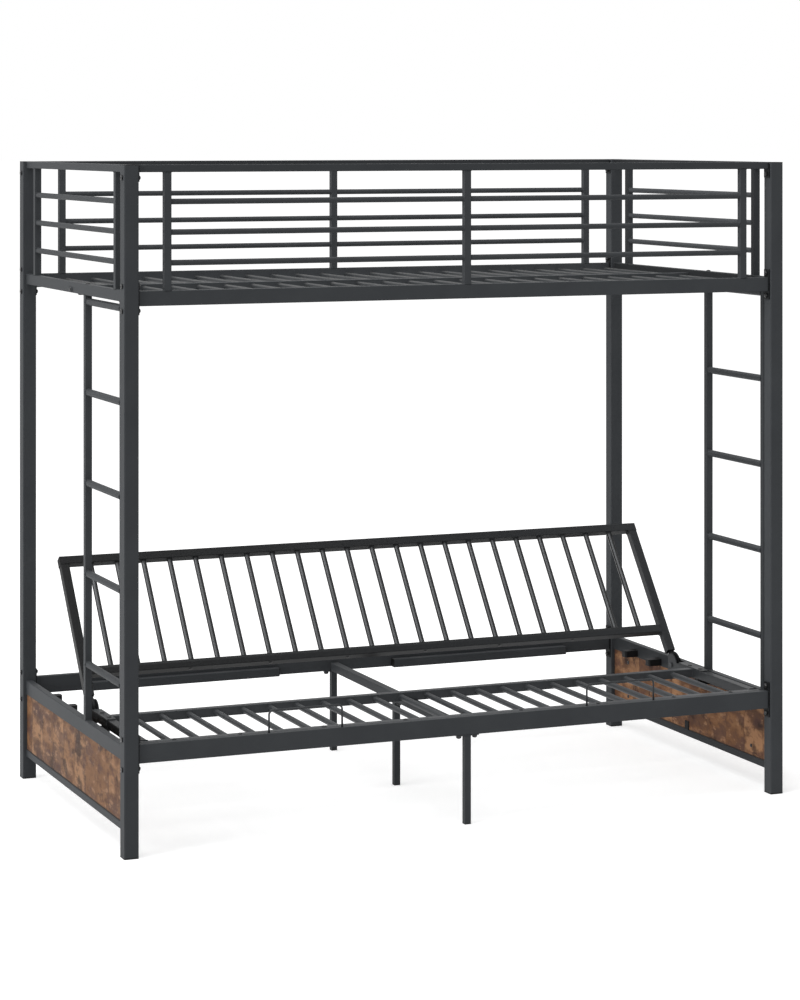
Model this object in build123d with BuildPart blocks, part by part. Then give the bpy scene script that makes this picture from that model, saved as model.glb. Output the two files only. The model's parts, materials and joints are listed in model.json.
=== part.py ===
# Metal bunk bed: a twin bunk over a fold-down futon bunk, in millimetres.
# X runs along the bed, Y from the front to the back, Z up.
# The origin is on the floor under the middle of the bed.

from build123d import *
import math
import os

os.makedirs("parts", exist_ok=True)

# Overall sizes
bed_length = 1980.0  # over the posts
bed_depth = 1060.0
bed_height = 1824.0
guard_tall = 333.0  # from the top of the upper bunk's rails to the top of the guards
lower_top = 297.0  # top of the lower bunk's rails and seat

# Posts, with their caps
post_side = 40.0
post_wall = 1.2
post_corner = 3.0
cap_bevel = 1.8
foot_lip = 3.0
foot_insert = 15.0
plug_lip = 1.5
plug_insert = 12.0
insert_fit = 0.2  # between a cap's insert and the tube's wall

# Tubes of the end frames and the guards
rail_thick = 20.0  # depth of every rail that lies between two posts
rail_bevel = 1.2  # stands for the tube's small outer radius
slim_side = 19.0  # guard uprights and ladder rails
thin_wall = 1.0
guard_rail_tall = 20.0
guard_bar_diameter = 16.0
bar_wall = 1.0  # at the corners of a round bar's six-sided bore, which keeps hidden faces few
bar_sides = 10  # of a round bar, few because there are over a hundred of them
guard_bar_shares = (0.249, 0.508, 0.767)  # of the guard's open height, from its top rail
end_guard_inset = 105.0  # from the post's middle to the end guard's upright
long_guard_inset = 103.5  # from the post's middle to the long guard's upright
end_deck_rail_tall = 30.0
end_lower_rail_tall = 40.0
end_lower_rail_top = 289.0
end_bottom_rail_tall = 20.0
end_bottom_rail_under = 65.0

# Ladders
rung_diameter = 20.0
rung_count = 5
rung_first_rise = 154.0  # from the top of the end frame's lower rail
rung_last_drop = 18.0  # from the deck rail's underside
ladder_front_inset = 50.0  # from the front post's middle to the ladder's front rail
ladder_width = 340.0  # between the middles of the ladder's rails

# Wood boards of the end frames
board_thick = 15.0
clip_wide = 24.0
clip_tall = 26.0

# Long rails, their end plates and the bolts that hold them
long_guard_plate_tall = 41.0
long_guard_plate_top_drop = 4.0
deck_rail_tall = 40.0
deck_plate_tall = 86.0
lower_rail_tall = 50.0
lower_plate_tall = 100.0
plate_thick = 3.0
plate_wide = 30.0
plate_bolt_inset = 10.5  # from a plate's end to its bolt's middle
bolt_head_diameter = 14.0
bolt_head_tall = 3.5
bolt_sides = 12
socket_across = 5.0
socket_deep = 2.0
nut_tall = 7.0
nut_rim_tall = 4.0

# Slats of both bunks and bars of the backrest
slat_diameter = 16.0
deck_slat_count = 24
seat_slat_count = 22
deck_slat_edge = 26.0  # from an end rail to the first slat's middle
seat_slat_edge = 67.5  # from a side tube to the first slat's middle
centre_rail_tall = 27.0
centre_rail_drop = 9.5  # from the top of the upper bunk's rails to the top of its centre rail

# Lower bunk: cross beam, centre legs and what the lowered backrest lies on
frame_tube = 25.0  # square tube of the seat, the backrest and the beam
frame_tube_wall = 1.2
leg_side = 18.0
leg_foot_tall = 8.0
leg_foot_lip = 1.0
leg_flange_long = 66.0
leg_flange_thick = 2.5
ledge_start = 190.0
ledge_end = 781.0
peg_end_gap = 8.0  # from the peg's end to the inner face of the tube that lies on it
peg_wide = 28.0
peg_tall = 20.0
peg_corner = 4.0
peg_pitch = 160.0
peg_first = -142.0  # under the seat's side tube

# Seat and backrest
seat_end_gap = 26.5  # between the seat and an end frame
seat_back_rail_back = -112.0
back_rest_angle = 52.0  # above level, as the backrest leans in use
pivot_back = 5.0
rest_gap = 0.3  # between the lowered backrest and what it lies on
back_end_gap = 2.5  # between the lowered backrest and the back rail
back_lower_rail_near = 109.0  # along the backrest from its pivot

# Click-clack hinge
ear_thick = 3.0
ratchet_radius = 40.0
ratchet_rim = 6.0  # beyond the cheek that covers it
cheek_back = 20.0  # from the pivot to the cheek's flat back edge
notch_radius = 4.5
notch_steps = (-1, 0, 1, 2)  # clicks from the leaning place
seat_tube_clear = 5.0  # from the ratchet to the end of the seat's side tube
back_tube_clear = 5.0  # from the ratchet to the end of the backrest's side tube
tongue_long = 45.0  # of each plate inside its tube
pawl_gap = 0.4
pawl_tip = 5.0
pawl_taper = 12.0
outer_ear_radius = 22.0
strap_end = -190.0
pin_diameter = 10.0
pin_shoulder = 13.0
pin_head_diameter = 16.0
pin_head_tall = 3.0
pin_fit = 0.1

# Wire hoops that hold the mattress
hoop_wire = 6.0
hoop_width = 210.0
hoop_tall = 63.0
hoop_bend = 25.0
hoop_place = 474.5

# Places worked out from the sizes above
post_x = (bed_length - post_side) / 2
post_y = (bed_depth - post_side) / 2
inner_x = post_x - post_side / 2
deck_top = bed_height - guard_tall
inner_y = post_y - post_side / 2
end_rail_inner_x = post_x - rail_thick / 2
long_rail_inner_y = post_y - rail_thick / 2
long_rail_half = inner_x - plate_thick
guard_under = bed_height - guard_rail_tall
guard_bar_heights = [guard_under - share * (guard_under - deck_top) for share in guard_bar_shares]
ladder_front_y = ladder_front_inset - post_y
ladder_back_y = ladder_front_y + ladder_width
seat_half_width = end_rail_inner_x - seat_end_gap
lower_under = lower_top - lower_rail_tall
seat_under = lower_top - frame_tube
seat_middle = lower_top - frame_tube / 2
seat_front_back = frame_tube - long_rail_inner_y
seat_back_rail_front = seat_back_rail_back - frame_tube
side_tube_x = seat_half_width - frame_tube / 2
side_tube_inner_x = seat_half_width - frame_tube
pivot_up = seat_middle + rest_gap
back_long = long_rail_inner_y - back_end_gap - pivot_back
back_top_rail_near = back_long - frame_tube
tube_bore = frame_tube - 2 * frame_tube_wall
seat_side_end = pivot_back - ratchet_radius - seat_tube_clear
back_side_near = ratchet_radius + back_tube_clear
click_angle = back_rest_angle / 2
back_lower_rail_far = back_lower_rail_near + frame_tube
plate_places = {
    "guard": (bed_height - long_guard_plate_top_drop, long_guard_plate_tall),
    "deck": (deck_top - deck_rail_tall / 2 + deck_plate_tall / 2, deck_plate_tall),
    "lower": (lower_top - lower_rail_tall / 2 + lower_plate_tall / 2, lower_plate_tall),
}
guard_bolt_up = plate_places["guard"][0] - long_guard_plate_tall + plate_bolt_inset
bolt_heights = [guard_bolt_up]
for plate_top, plate_tall in (plate_places["deck"], plate_places["lower"]):
    bolt_heights += [plate_top - plate_bolt_inset, plate_top - plate_tall + plate_bolt_inset]
sides = {"left": -1, "right": 1}
rows = {"front": -1, "back": 1}


# Sketch plane across X: its x is Y and its y is Z
def along_x(x):
    return Plane(origin=(x, 0, 0), x_dir=(0, 1, 0), z_dir=(1, 0, 0))


# Sketch plane across Y, facing the front: its x is X and its y is Z
def along_y(y):
    return Plane.XZ.offset(-y)


# Sketch plane across the leaning backrest, far along it from the pivot
def back_across(far):
    lean = math.radians(back_rest_angle)
    reach = (0, pivot_back + far * math.cos(lean), pivot_up + far * math.sin(lean))
    return Plane(origin=reach, x_dir=(1, 0, 0), z_dir=(0, math.cos(lean), math.sin(lean)))


# Sketch plane across X at the pivot: its x runs up along the leaning backrest
def back_side(x):
    lean = math.radians(back_rest_angle)
    along = (0, math.cos(lean), math.sin(lean))
    return Plane(origin=(x, pivot_back, pivot_up), x_dir=along, z_dir=(1, 0, 0))


def slim_section():
    Rectangle(slim_side, slim_side)
    Rectangle(slim_side - 2 * thin_wall, slim_side - 2 * thin_wall, mode=Mode.SUBTRACT)


# A square tube's section, its outer corners bevelled
def box_section(wide, tall, wall):
    outline = Rectangle(wide, tall)
    chamfer(outline.vertices(), rail_bevel)
    Rectangle(wide - 2 * wall, tall - 2 * wall, mode=Mode.SUBTRACT)


def bar_section(diameter):
    RegularPolygon(diameter / 2, bar_sides)
    RegularPolygon(diameter / 2 - bar_wall, 6, mode=Mode.SUBTRACT)


def save(piece, name):
    piece.part.label = name
    export_step(piece.part, f"parts/{name}.step")


# Even places along X for a row of slats whose first and last stand out_x from the middle
def slat_places(out_x, slat_count):
    return [out_x * (2 * slot / (slat_count - 1) - 1) for slot in range(slat_count)]


# Posts
post_bore = post_side - 2 * post_wall
for row, row_sign in rows.items():
    for side, side_sign in sides.items():
        with BuildPart() as post:
            with BuildSketch(Plane.XY.offset(foot_lip)):
                with Locations((side_sign * post_x, row_sign * post_y)):
                    RectangleRounded(post_side, post_side, post_corner)
                    Rectangle(post_bore, post_bore, mode=Mode.SUBTRACT)
            extrude(amount=bed_height - foot_lip - plug_lip)
        save(post, f"post_{row}_{side}")

post_places = [(x * post_x, y * post_y) for x in sides.values() for y in rows.values()]
insert_side = post_bore - 2 * insert_fit


# The four posts' outlines for their caps, with bevels for the posts' round corners
def cap_outlines():
    with Locations(*post_places):
        outlines = Rectangle(post_side, post_side)
    chamfer(outlines.vertices(), cap_bevel)


with BuildPart() as foot_caps:
    with BuildSketch(Plane.XY):
        cap_outlines()
    extrude(amount=foot_lip)
    with BuildSketch(Plane.XY.offset(foot_lip)):
        with Locations(*post_places):
            Rectangle(insert_side, insert_side)
    extrude(amount=foot_insert)
save(foot_caps, "post_foot_caps")

with BuildPart() as top_plugs:
    with BuildSketch(Plane.XY.offset(bed_height - plug_lip)):
        cap_outlines()
    extrude(amount=plug_lip)
    with BuildSketch(Plane.XY.offset(bed_height - plug_lip)):
        with Locations(*post_places):
            Rectangle(insert_side, insert_side)
    extrude(amount=-plug_insert)
save(top_plugs, "post_top_plugs")

# End frames, each welded between a front and a back post
end_rails = {
    "top_rail": (bed_height, guard_rail_tall),
    "deck_rail": (deck_top, end_deck_rail_tall),
    "lower_rail": (end_lower_rail_top, end_lower_rail_tall),
    "bottom_rail": (end_bottom_rail_under + end_bottom_rail_tall, end_bottom_rail_tall),
}
end_guard_y = post_y - end_guard_inset
rung_first = end_lower_rail_top + rung_first_rise
rung_last = deck_top - end_deck_rail_tall - rung_last_drop
board_under = end_bottom_rail_under + end_bottom_rail_tall
board_top = end_lower_rail_top - end_lower_rail_tall

for side, side_sign in sides.items():
    end_x = side_sign * post_x
    for rail_name, (rail_top, rail_tall) in end_rails.items():
        with BuildPart() as end_rail:
            with BuildSketch(along_y(inner_y)):
                with Locations((end_x, rail_top - rail_tall / 2)):
                    box_section(rail_thick, rail_tall, thin_wall)
            extrude(amount=2 * inner_y)
        save(end_rail, f"{side}_end_{rail_name}")

    with BuildPart() as end_uprights:
        with BuildSketch(Plane.XY.offset(deck_top)):
            with Locations((end_x, -end_guard_y), (end_x, end_guard_y)):
                slim_section()
        extrude(amount=guard_under - deck_top)
    save(end_uprights, f"{side}_end_guard_uprights")

    end_bar_half = end_guard_y - slim_side / 2
    with BuildPart() as end_bars:
        with BuildSketch(along_y(end_bar_half)):
            with Locations(*[(end_x, height) for height in guard_bar_heights]):
                bar_section(guard_bar_diameter)
        extrude(amount=2 * end_bar_half)
    save(end_bars, f"{side}_end_guard_bars")

    with BuildPart() as ladder_rails:
        with BuildSketch(Plane.XY.offset(end_lower_rail_top)):
            with Locations((end_x, ladder_front_y), (end_x, ladder_back_y)):
                slim_section()
        extrude(amount=deck_top - end_deck_rail_tall - end_lower_rail_top)
    save(ladder_rails, f"{side}_ladder_rails")

    with BuildPart() as ladder_rungs:
        with BuildSketch(along_y(ladder_back_y - slim_side / 2)):
            with Locations((end_x, (rung_first + rung_last) / 2)):
                with GridLocations(0, (rung_last - rung_first) / (rung_count - 1), 1, rung_count):
                    bar_section(rung_diameter)
        extrude(amount=ladder_width - slim_side)
    save(ladder_rungs, f"{side}_ladder_rungs")

    with BuildPart() as wood_board:
        with BuildSketch(along_y(inner_y)):
            with Locations((end_x, (board_under + board_top) / 2)):
                Rectangle(board_thick, board_top - board_under)
        extrude(amount=2 * inner_y)
    save(wood_board, f"{side}_wood_board")

clip_thick = (rail_thick - board_thick) / 2
clip_x = end_rail_inner_x + clip_thick / 2
with BuildPart() as board_clips:
    with BuildSketch(Plane.XY.offset(board_under)):
        with Locations((-clip_x, 0), (clip_x, 0)):
            Rectangle(clip_thick, clip_wide)
    extrude(amount=clip_tall)
save(board_clips, "board_clips")

# Long guards, rails and plates, the same at the front and the back
long_guard_x = post_x - long_guard_inset
long_rails = {
    "guard_top_rail": (bed_height, guard_rail_tall),
    "deck_rail": (deck_top, deck_rail_tall),
    "lower_rail": (lower_top, lower_rail_tall),
}
for row, row_sign in rows.items():
    rail_y = row_sign * post_y
    for rail_name, (rail_top, rail_tall) in long_rails.items():
        with BuildPart() as long_rail:
            with BuildSketch(along_x(-long_rail_half)):
                with Locations((rail_y, rail_top - rail_tall / 2)):
                    box_section(rail_thick, rail_tall, thin_wall)
            extrude(amount=2 * long_rail_half)
        save(long_rail, f"{row}_{rail_name}")

    with BuildPart() as long_uprights:
        with BuildSketch(Plane.XY.offset(deck_top)):
            with Locations((-long_guard_x, rail_y), (0, rail_y), (long_guard_x, rail_y)):
                slim_section()
        extrude(amount=guard_under - deck_top)
    save(long_uprights, f"{row}_guard_uprights")

    with BuildPart() as long_bars:
        for bar_start in (slim_side / 2 - long_guard_x, slim_side / 2):
            with BuildSketch(along_x(bar_start)):
                with Locations(*[(rail_y, height) for height in guard_bar_heights]):
                    bar_section(guard_bar_diameter)
            extrude(amount=long_guard_x - slim_side)
    save(long_bars, f"{row}_guard_bars")

with BuildPart() as end_plates:
    for plate_x in (-inner_x, long_rail_half):
        with BuildSketch(along_x(plate_x)):
            for plate_top, plate_tall in plate_places.values():
                with Locations(*[(y * post_y, plate_top - plate_tall / 2) for y in rows.values()]):
                    Rectangle(plate_wide, plate_tall)
        extrude(amount=plate_thick)
save(end_plates, "rail_end_plates")

bolt_places = [(y * post_y, height) for y in rows.values() for height in bolt_heights]

with BuildPart() as frame_bolts:
    for side_sign in sides.values():
        with BuildSketch(along_x(side_sign * bed_length / 2)):
            with Locations(*bolt_places):
                RegularPolygon(bolt_head_diameter / 2, bolt_sides)
        extrude(amount=side_sign * bolt_head_tall)
        with BuildSketch(along_x(side_sign * (bed_length / 2 + bolt_head_tall))):
            with Locations(*bolt_places):
                RegularPolygon(socket_across / 2, 6, major_radius=False)
        extrude(amount=-side_sign * socket_deep, mode=Mode.SUBTRACT)
save(frame_bolts, "frame_bolts")

nut_half = bolt_head_diameter / 2
with BuildPart() as frame_nuts:
    for side_sign in sides.values():
        for nut_y, nut_up in bolt_places:
            nut_place = (side_sign * long_rail_half, nut_y, nut_up)
            seat = Plane(origin=nut_place, x_dir=(0, 1, 0), z_dir=(-side_sign, 0, 0))
            with BuildSketch(seat):
                RegularPolygon(nut_half, 6)
            extrude(amount=nut_rim_tall)
            with BuildSketch(seat.offset(nut_rim_tall)):
                RegularPolygon(nut_half, 6)
            extrude(amount=nut_tall - nut_rim_tall, taper=45)
save(frame_nuts, "frame_nuts")

# Upper bunk's slats, in two rows that meet the lengthwise centre rail
deck_middle = deck_top - centre_rail_drop - centre_rail_tall / 2
deck_slat_places = slat_places(end_rail_inner_x - deck_slat_edge, deck_slat_count)
with BuildPart() as centre_rail:
    with BuildSketch(along_x(-end_rail_inner_x)):
        with Locations((0, deck_middle)):
            box_section(rail_thick, centre_rail_tall, thin_wall)
    extrude(amount=2 * end_rail_inner_x)
save(centre_rail, "deck_centre_rail")

for row, start_y in {"front": -rail_thick / 2, "back": long_rail_inner_y}.items():
    with BuildPart() as deck_slats:
        with BuildSketch(along_y(start_y)):
            with Locations(*[(x, deck_middle) for x in deck_slat_places]):
                bar_section(slat_diameter)
        extrude(amount=long_rail_inner_y - rail_thick / 2)
    save(deck_slats, f"deck_{row}_slats")

# Cross beam and centre legs under the lower bunk
with BuildPart() as cross_beam:
    with BuildSketch(along_y(long_rail_inner_y)):
        with Locations((0, lower_under + frame_tube / 2)):
            box_section(frame_tube, frame_tube, frame_tube_wall)
    extrude(amount=2 * long_rail_inner_y)
save(cross_beam, "lower_cross_beam")

leg_places = [(0, -post_y), (0, 0), (0, post_y)]
with BuildPart() as leg_flanges:
    with BuildSketch(Plane.XY.offset(lower_under - leg_flange_thick)):
        with Locations(*leg_places[::2]):
            Rectangle(leg_flange_long, rail_thick)
        with Locations(leg_places[1]):
            Rectangle(frame_tube, leg_flange_long)
    extrude(amount=leg_flange_thick)
save(leg_flanges, "centre_leg_flanges")

with BuildPart() as centre_legs:
    with BuildSketch(Plane.XY.offset(leg_foot_lip)):
        with Locations(*leg_places):
            Rectangle(leg_side, leg_side)
            Rectangle(leg_side - 2 * thin_wall, leg_side - 2 * thin_wall, mode=Mode.SUBTRACT)
    extrude(amount=lower_under - leg_flange_thick - leg_foot_lip)
save(centre_legs, "centre_legs")

leg_insert = leg_side - 2 * (thin_wall + insert_fit)
with BuildPart() as leg_feet:
    with BuildSketch(Plane.XY):
        with Locations(*leg_places):
            Rectangle(leg_side, leg_side)
    extrude(amount=leg_foot_lip)
    with BuildSketch(Plane.XY.offset(leg_foot_lip)):
        with Locations(*leg_places):
            Rectangle(leg_insert, leg_insert)
    extrude(amount=leg_foot_tall)
save(leg_feet, "centre_leg_feet")

# Ledge bars and pegs that the lowered backrest lies on
with BuildPart() as ledge_bars:
    for ledge_x in (-ledge_end, ledge_start):
        with BuildSketch(along_x(ledge_x)):
            with Locations((long_rail_inner_y - frame_tube / 2, seat_under - frame_tube / 2)):
                box_section(frame_tube, frame_tube, frame_tube_wall)
        extrude(amount=ledge_end - ledge_start)
save(ledge_bars, "backrest_ledge_bars")

peg_long = seat_end_gap + frame_tube - peg_end_gap
peg_places = [peg_first + peg_pitch * step for step in (0, 2, 3)]
with BuildPart() as rest_pegs:
    for side_sign in sides.values():
        with BuildSketch(Plane.XY.offset(seat_under - peg_tall)):
            with Locations(*[(side_sign * (end_rail_inner_x - peg_long / 2), y) for y in peg_places]):
                Rectangle(peg_long, peg_wide)
        extrude(amount=peg_tall)
        tips = rest_pegs.edges().filter_by(Axis.Z).filter_by(
            lambda edge: abs(abs(edge.center().X) - end_rail_inner_x + peg_long) < peg_corner
            and edge.center().X * side_sign > 0
        )
        chamfer(tips, peg_corner)
save(rest_pegs, "rest_pegs")

# Seat panel of the lower bunk
with BuildPart() as seat_front_tube:
    with BuildSketch(along_x(-seat_half_width)):
        with Locations((seat_front_back - frame_tube / 2, seat_middle)):
            box_section(frame_tube, frame_tube, frame_tube_wall)
    extrude(amount=2 * seat_half_width)
save(seat_front_tube, "seat_front_tube")

with BuildPart() as seat_side_tubes:
    with BuildSketch(along_y(seat_side_end)):
        with Locations((-side_tube_x, seat_middle), (side_tube_x, seat_middle)):
            box_section(frame_tube, frame_tube, frame_tube_wall)
    extrude(amount=seat_side_end - seat_front_back)
save(seat_side_tubes, "seat_side_tubes")

with BuildPart() as seat_back_rail:
    with BuildSketch(along_x(-side_tube_inner_x)):
        with Locations((seat_back_rail_back - frame_tube / 2, seat_middle)):
            box_section(frame_tube, frame_tube, frame_tube_wall)
    extrude(amount=2 * side_tube_inner_x)
save(seat_back_rail, "seat_back_rail")

seat_slat_places = slat_places(side_tube_inner_x - seat_slat_edge, seat_slat_count)
with BuildPart() as seat_slats:
    with BuildSketch(along_y(seat_back_rail_front)):
        with Locations(*[(x, seat_middle) for x in seat_slat_places]):
            bar_section(slat_diameter)
    extrude(amount=seat_back_rail_front - seat_front_back)
save(seat_slats, "seat_slats")

hoop_half = hoop_width / 2
hoop_top = lower_top + hoop_tall - hoop_wire / 2
with BuildPart() as mattress_hoops:
    for side_sign in sides.values():
        hoop_x = side_sign * hoop_place
        with BuildLine(along_y(-post_y)):
            FilletPolyline(
                (hoop_x - hoop_half, lower_top),
                (hoop_x - hoop_half, hoop_top),
                (hoop_x + hoop_half, hoop_top),
                (hoop_x + hoop_half, lower_top),
                radius=hoop_bend,
            )
        with BuildSketch(Plane(origin=(hoop_x - hoop_half, -post_y, lower_top), z_dir=(0, 0, 1))):
            RegularPolygon(hoop_wire / 2, 8)
        sweep()
save(mattress_hoops, "mattress_hoops")

# Backrest, drawn as it leans in use
with BuildPart() as back_side_tubes:
    with BuildSketch(back_across(back_side_near)):
        with Locations((-side_tube_x, 0), (side_tube_x, 0)):
            box_section(frame_tube, frame_tube, frame_tube_wall)
    extrude(amount=back_top_rail_near - back_side_near)
save(back_side_tubes, "backrest_side_tubes")

with BuildPart() as back_top_rail:
    with BuildSketch(back_side(-seat_half_width)):
        with Locations((back_long - frame_tube / 2, 0)):
            box_section(frame_tube, frame_tube, frame_tube_wall)
    extrude(amount=2 * seat_half_width)
save(back_top_rail, "backrest_top_rail")

with BuildPart() as back_lower_rail:
    with BuildSketch(back_side(-side_tube_inner_x)):
        with Locations((back_lower_rail_far - frame_tube / 2, 0)):
            box_section(frame_tube, frame_tube, frame_tube_wall)
    extrude(amount=2 * side_tube_inner_x)
save(back_lower_rail, "backrest_lower_rail")

with BuildPart() as back_bars:
    with BuildSketch(back_across(back_lower_rail_far)):
        with Locations(*[(x, 0) for x in seat_slat_places]):
            bar_section(slat_diameter)
    extrude(amount=back_top_rail_near - back_lower_rail_far)
save(back_bars, "backrest_bars")

# Click-clack hinges. Each seat tube carries a strap outside and a cheek inside, with the pin
# through both. The notched ratchet turns on the pin between them, its tongue in the backrest's tube.
strap_bevel = frame_tube / 4
cheek_x = side_tube_inner_x + frame_tube_wall
ratchet_x = side_tube_x - ear_thick / 2
with BuildPart() as seat_ears:
    for side_sign in sides.values():
        with BuildSketch(along_x(side_sign * seat_half_width)):
            with Locations((pivot_back, pivot_up)):
                Circle(outer_ear_radius)
            with Locations(((strap_end + pivot_back) / 2, lower_top + ear_thick - frame_tube / 2)):
                Rectangle(pivot_back - strap_end, frame_tube)
            with Locations((pivot_back, pivot_up)):
                Circle(pin_diameter / 2, mode=Mode.SUBTRACT)
        extrude(amount=side_sign * ear_thick)
        with BuildSketch(Plane.XY.offset(lower_top)):
            with Locations((side_sign * side_tube_x, (strap_end + seat_side_end) / 2)):
                flange = Rectangle(frame_tube, seat_side_end - strap_end)
                chamfer(flange.vertices(), strap_bevel)
        extrude(amount=ear_thick)
        with BuildSketch(along_x(side_sign * cheek_x)):
            with Locations((pivot_back, pivot_up)):
                Circle(ratchet_radius - ratchet_rim)
            with Locations((pivot_back + cheek_back + ratchet_radius / 2, pivot_up)):
                Rectangle(ratchet_radius, 2 * ratchet_radius, mode=Mode.SUBTRACT)
            with Locations(((seat_side_end - tongue_long + pivot_back) / 2, seat_middle)):
                Rectangle(pivot_back - seat_side_end + tongue_long, tube_bore)
            with Locations((pivot_back, pivot_up)):
                Circle(pin_diameter / 2, mode=Mode.SUBTRACT)
        extrude(amount=side_sign * ear_thick)
save(seat_ears, "hinge_seat_ears")

with BuildPart() as back_ears:
    for side_sign in sides.values():
        with BuildSketch(back_side(side_sign * ratchet_x)):
            Circle(ratchet_radius)
            with Locations(((back_side_near + tongue_long) / 2, 0)):
                Rectangle(back_side_near + tongue_long, tube_bore)
            for step in notch_steps:
                turn = math.pi + math.radians(step * click_angle - back_rest_angle)
                with Locations((ratchet_radius * math.cos(turn), ratchet_radius * math.sin(turn))):
                    RegularPolygon(notch_radius, 6, mode=Mode.SUBTRACT)
            Circle(pin_diameter / 2 + pin_fit, mode=Mode.SUBTRACT)
        extrude(amount=side_sign * ear_thick)
save(back_ears, "hinge_backrest_ears")

pawl_near = pivot_back - ratchet_radius - pawl_gap
pawl_points = (
    (pawl_near, pivot_up - pawl_tip / 2),
    (pawl_near, pivot_up + pawl_tip / 2),
    (pawl_near - pawl_taper, seat_middle + tube_bore / 2),
    (seat_side_end - tongue_long, seat_middle + tube_bore / 2),
    (seat_side_end - tongue_long, seat_middle - tube_bore / 2),
    (pawl_near - pawl_taper, seat_middle - tube_bore / 2),
)
with BuildPart() as pawls:
    for side_sign in sides.values():
        with BuildSketch(along_x(side_sign * ratchet_x)):
            with BuildLine():
                Polyline(*pawl_points, close=True)
            make_face()
        extrude(amount=side_sign * ear_thick)
save(pawls, "hinge_pawls")

cheek_out_x = cheek_x + ear_thick
ratchet_out_x = ratchet_x + ear_thick
pin_steps = (
    (cheek_x - pin_head_tall, cheek_x, pin_head_diameter),
    (cheek_x, cheek_out_x, pin_diameter),
    (cheek_out_x, ratchet_x - rest_gap, pin_shoulder),
    (ratchet_x - rest_gap, ratchet_out_x + rest_gap, pin_diameter),
    (ratchet_out_x + rest_gap, seat_half_width, pin_shoulder),
    (seat_half_width, seat_half_width + ear_thick, pin_diameter),
    (seat_half_width + ear_thick, seat_half_width + ear_thick + pin_head_tall, pin_head_diameter),
)
with BuildPart() as hinge_pins:
    for side_sign in sides.values():
        for step_start, step_end, step_diameter in pin_steps:
            with BuildSketch(along_x(side_sign * step_start)):
                with Locations((pivot_back, pivot_up)):
                    if step_diameter == pin_diameter:
                        Circle(pin_diameter / 2)
                    else:
                        RegularPolygon(step_diameter / 2, bolt_sides)
            extrude(amount=side_sign * (step_end - step_start))
save(hinge_pins, "hinge_pins")
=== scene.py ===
import json
import math
import random

import bmesh
import bpy
from mathutils import Matrix, Vector


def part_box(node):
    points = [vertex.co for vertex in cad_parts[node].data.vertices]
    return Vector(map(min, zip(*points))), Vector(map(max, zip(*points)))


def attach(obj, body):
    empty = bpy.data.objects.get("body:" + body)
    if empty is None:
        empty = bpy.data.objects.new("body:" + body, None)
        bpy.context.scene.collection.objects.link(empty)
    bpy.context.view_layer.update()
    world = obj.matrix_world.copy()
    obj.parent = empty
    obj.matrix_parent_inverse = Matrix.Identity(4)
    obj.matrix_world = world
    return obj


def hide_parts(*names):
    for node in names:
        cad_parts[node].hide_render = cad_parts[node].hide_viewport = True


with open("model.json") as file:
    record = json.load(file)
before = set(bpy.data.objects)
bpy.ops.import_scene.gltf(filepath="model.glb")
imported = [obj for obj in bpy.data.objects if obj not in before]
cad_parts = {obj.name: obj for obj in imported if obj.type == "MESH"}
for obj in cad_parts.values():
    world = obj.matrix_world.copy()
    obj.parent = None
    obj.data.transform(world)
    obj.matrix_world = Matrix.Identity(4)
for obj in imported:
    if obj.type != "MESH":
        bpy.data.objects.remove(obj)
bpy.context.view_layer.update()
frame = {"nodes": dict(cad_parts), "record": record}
nodes = frame["nodes"]
scene = bpy.context.scene
print("bed frame loaded:", len(nodes), "nodes")


# a small kit for materials

alongX, alongY, alongZ = 0, 1, 2  # the parts of a place or a direction
firstColour, secondColour, mixedColour = 6, 7, 2  # the colour sockets of a Mix node
edgeSamples = 6  # for the edges that are shaded round


class Wire:
    # one socket of a material's nodes, with arithmetic
    def __init__(self, coat, socket):
        self.coat = coat
        self.socket = socket

    def blendWith(self, operation, first, second):
        return self.coat.node("ShaderNodeMath", {"operation": operation}, {0: first, 1: second})

    def alone(self, operation):
        return self.coat.node("ShaderNodeMath", {"operation": operation}, {0: self})

    def __add__(self, other):
        return self.blendWith("ADD", self, other)

    def __radd__(self, other):
        return self.blendWith("ADD", other, self)

    def __sub__(self, other):
        return self.blendWith("SUBTRACT", self, other)

    def __rsub__(self, other):
        return self.blendWith("SUBTRACT", other, self)

    def __mul__(self, other):
        return self.blendWith("MULTIPLY", self, other)

    def __rmul__(self, other):
        return self.blendWith("MULTIPLY", other, self)

    def __truediv__(self, other):
        return self.blendWith("DIVIDE", self, other)

    def __rtruediv__(self, other):
        return self.blendWith("DIVIDE", other, self)


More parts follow.
